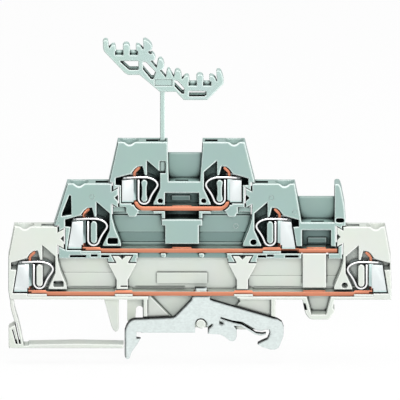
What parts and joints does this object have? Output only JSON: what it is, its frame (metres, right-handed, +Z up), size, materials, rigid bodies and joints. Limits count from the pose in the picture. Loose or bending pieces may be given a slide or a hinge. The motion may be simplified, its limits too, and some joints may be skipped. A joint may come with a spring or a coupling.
{
  "type": "triple level terminal block",
  "caption": "Thin stepped terminal block for a 35 mm rail, with its open side showing spring clamps, copper bars, a metal rail foot and a plug-in marker carrier.",
  "frame": {"origin": "middle of the 35 mm rail seat, on the plane of the rail's flanges and half-way through the block's thickness", "axes": "+X along the block's length towards the end with the jumper bay, +Z up away from the rail, +Y through the thickness towards the closed back, so the open side faces -Y"},
  "size_m": [0.1033, 0.005, 0.09],
  "materials": {
    "pale_housing": "light grey polyamide moulding",
    "grey_housing": "blue-grey polyamide moulding",
    "copper": "punched copper strip, tinned broad faces",
    "spring_steel": "bright spring strip",
    "tinned_sheet": "bright tinned sheet",
    "nickel_plated": "nickel-plated stamping"
  },
  "bodies": {
    "block": {"lower_housing": "pale_housing", "middle_housing": "grey_housing", "upper_housing": "grey_housing", "lower_bus_bar": "copper", "middle_bus_bar": "copper", "upper_bus_bar": "copper", "spring_upper_left": "spring_steel", "spring_upper_right": "spring_steel", "spring_middle_left": "spring_steel", "spring_middle_right": "spring_steel", "spring_lower_left": "spring_steel", "spring_lower_right": "spring_steel", "pocket_upper_left": "tinned_sheet", "pocket_upper_right": "tinned_sheet", "pocket_middle_left": "tinned_sheet", "pocket_middle_right": "tinned_sheet", "pocket_lower_left": "tinned_sheet", "pocket_lower_right": "tinned_sheet", "mounting_foot": "nickel_plated"},
    "carrier": {"marker_carrier": "grey_housing"}
  },
  "joints": [
    {"name": "marker_carrier_slide", "type": "slide", "parent": "block", "child": "carrier", "axis": [0, 0, 1], "range_m": [0, 0.009]}
  ]
}
